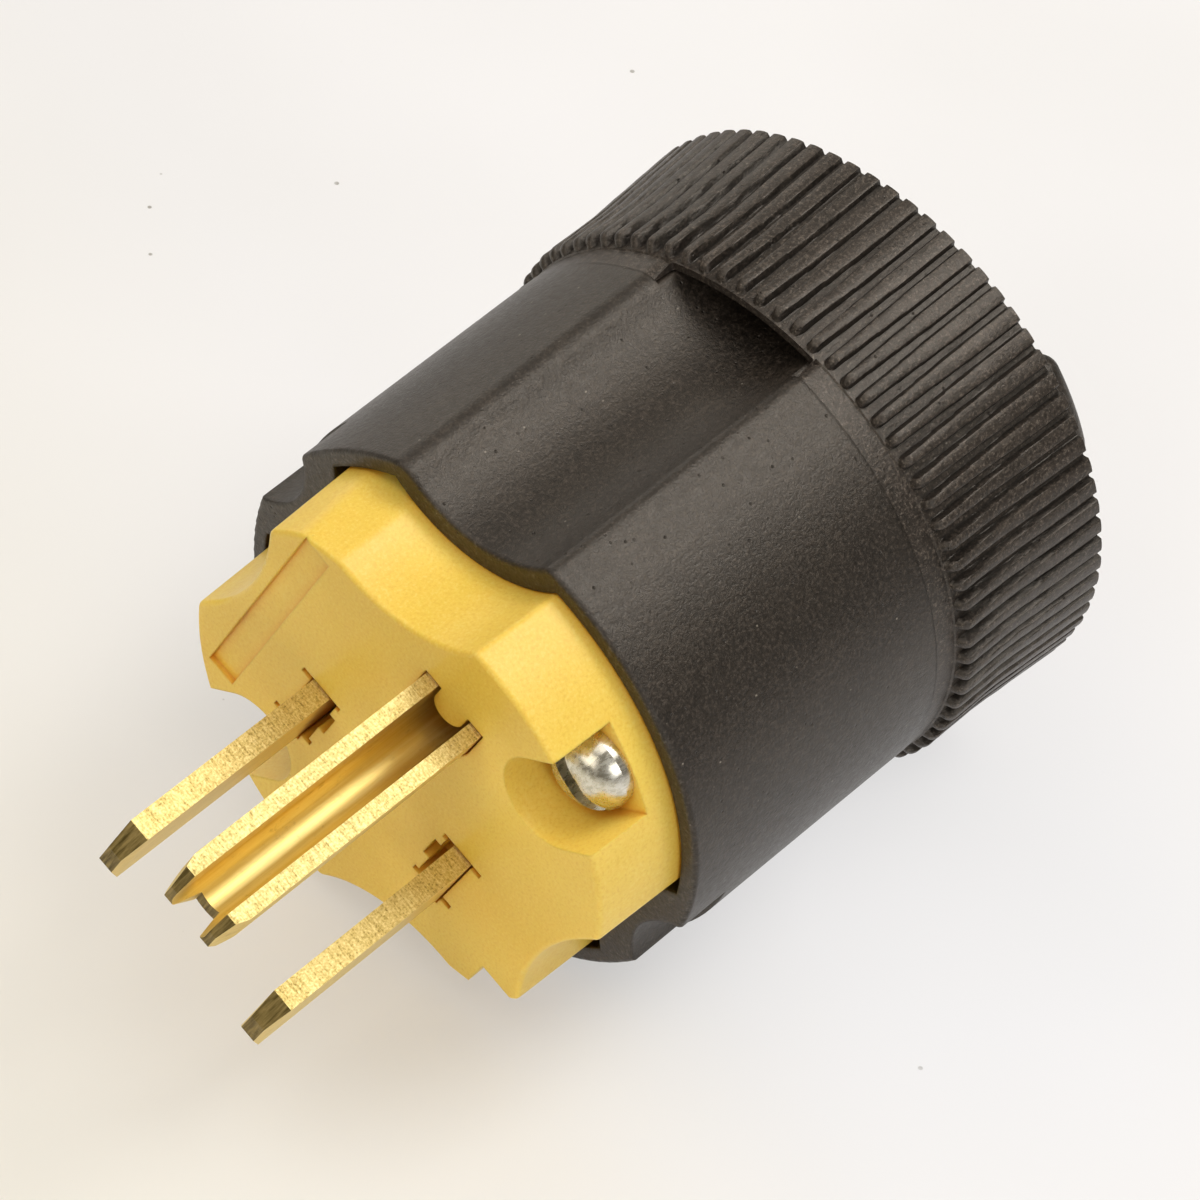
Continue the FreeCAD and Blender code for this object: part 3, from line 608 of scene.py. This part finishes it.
def card_paint():
    """Pale card that partly shows its colour by itself to camera and glossy rays, with specks of dust.

    It carries painted warm shade toward the side where the plug's shadow falls, is darkened with painted
    shade away from the plug for all but camera rays, and glows more in a halo under the plug's side.
    """
    n = Nodes("card")
    n.plain(Roughness=0.9, Specular_IOR_Level=0.1)
    place = n.place()
    tone = n.ramp(n.noise(place, 0.02, 2.0), (0.35, CARD_TONES[0]), (0.65, CARD_TONES[1]))
    # Painted warm shade, growing along the way the plug's shadow falls
    tone = n.tinted(tone, n.along(place, WARM_SHADE_WAY), WARM_SHADE_REACH, 0.75, CARD_WARM_SHADE)
    rays = n.add("ShaderNodeLightPath").outputs
    unseen = n.math("SUBTRACT", 1.0, rays["Is Camera Ray"])
    # Painted shade: the card darkens away from the plug in reflections and bounced light, but not to the
    # camera
    far_shade = n.span(n.away(place, (0, 0, 0)), *FAR_SHADE_REACH, 0, 1)
    tone = n.mixed(n.math("MULTIPLY", far_shade, unseen), tone, CARD_FAR_SHADE)
    dust = n.flecks(n.dots(place, 0.22), (0.03, 0.045), n.noise(place, 0.15, 1.0), (0.52, 0.6), 0.7)
    tone = n.mixed(dust, tone, DUST)
    n.colour(tone)
    seen = n.math("MAXIMUM", rays["Is Camera Ray"], rays["Is Glossy Ray"])
    glow = n.add("ShaderNodeEmission", {"Strength": 1.0})
    n.link(tone, glow.inputs["Color"])
    halo = n.span(n.away(place, HALO_CENTRE), *HALO_REACH, *HALO_GLOW)
    blend = n.add("ShaderNodeMixShader")
    n.link(n.math("MULTIPLY", seen, halo), blend.inputs[0])
    n.link(n.shader.outputs[0], blend.inputs[1])
    n.link(glow.outputs[0], blend.inputs[2])
    n.link(blend.outputs[0], n.tree.nodes["Material Output"].inputs["Surface"])
    return n.material


def floor():
    """The card under the plug."""
    bpy.ops.mesh.primitive_plane_add(size=CARD_SIZE)
    card = bpy.context.active_object
    card.name = "floor"
    card.matrix_world = Matrix.Translation(CARD_TOUCH) @ Matrix.Rotation(-CARD_TILT, 4, "Y")
    card.data.materials.append(card_paint())


def lamp(name, toward, distance, side, watts, colour):
    """A square lamp, aimed at the plug's middle from a direction."""
    light = bpy.data.lights.new(name, "AREA")
    light.shape = "SQUARE"
    light.size = side
    light.energy = watts
    light.color = colour
    obj = bpy.data.objects.new(name, light)
    scene.collection.objects.link(obj)
    way = Vector(toward).normalized()
    obj.location = LAMP_AIM + way * distance
    obj.rotation_mode = "QUATERNION"
    obj.rotation_quaternion = (-way).to_track_quat("-Z", "Y")


def sky():
    """A dim world that lights the plug, pale to camera rays alone."""
    world = bpy.data.worlds.new("studio")
    scene.world = world
    world.use_nodes = True
    tree = world.node_tree
    dim = tree.nodes["Background"]
    dim.inputs["Color"].default_value = WORLD_COLOUR
    dim.inputs["Strength"].default_value = WORLD_STRENGTH
    pale = tree.nodes.new("ShaderNodeBackground")
    pale.inputs["Color"].default_value = PALE_SKY
    rays = tree.nodes.new("ShaderNodeLightPath")
    blend = tree.nodes.new("ShaderNodeMixShader")
    tree.links.new(rays.outputs["Is Camera Ray"], blend.inputs[0])
    tree.links.new(dim.outputs[0], blend.inputs[1])
    tree.links.new(pale.outputs[0], blend.inputs[2])
    tree.links.new(blend.outputs[0], tree.nodes["World Output"].inputs["Surface"])


def camera():
    """The photo's camera, as fitted to the pins' edges."""
    data = bpy.data.cameras.new("camera")
    data.sensor_width = CAMERA_SENSOR
    data.lens = CAMERA_LENS
    data.clip_start, data.clip_end = CAMERA_CLIP
    obj = bpy.data.objects.new("camera", data)
    scene.collection.objects.link(obj)
    right = CAMERA_RIGHT.normalized()
    back = right.cross(CAMERA_UP).normalized()
    up = back.cross(right).normalized()
    look = Matrix((right, up, back)).transposed().to_4x4()
    obj.matrix_world = Matrix.Translation(CAMERA_PLACE) @ look
    scene.camera = obj


scene.view_settings.view_transform = "Standard"
dress_nodes()
grip_collar()
floor()
sky()
for row in LAMPS:
    lamp(*row)
camera()
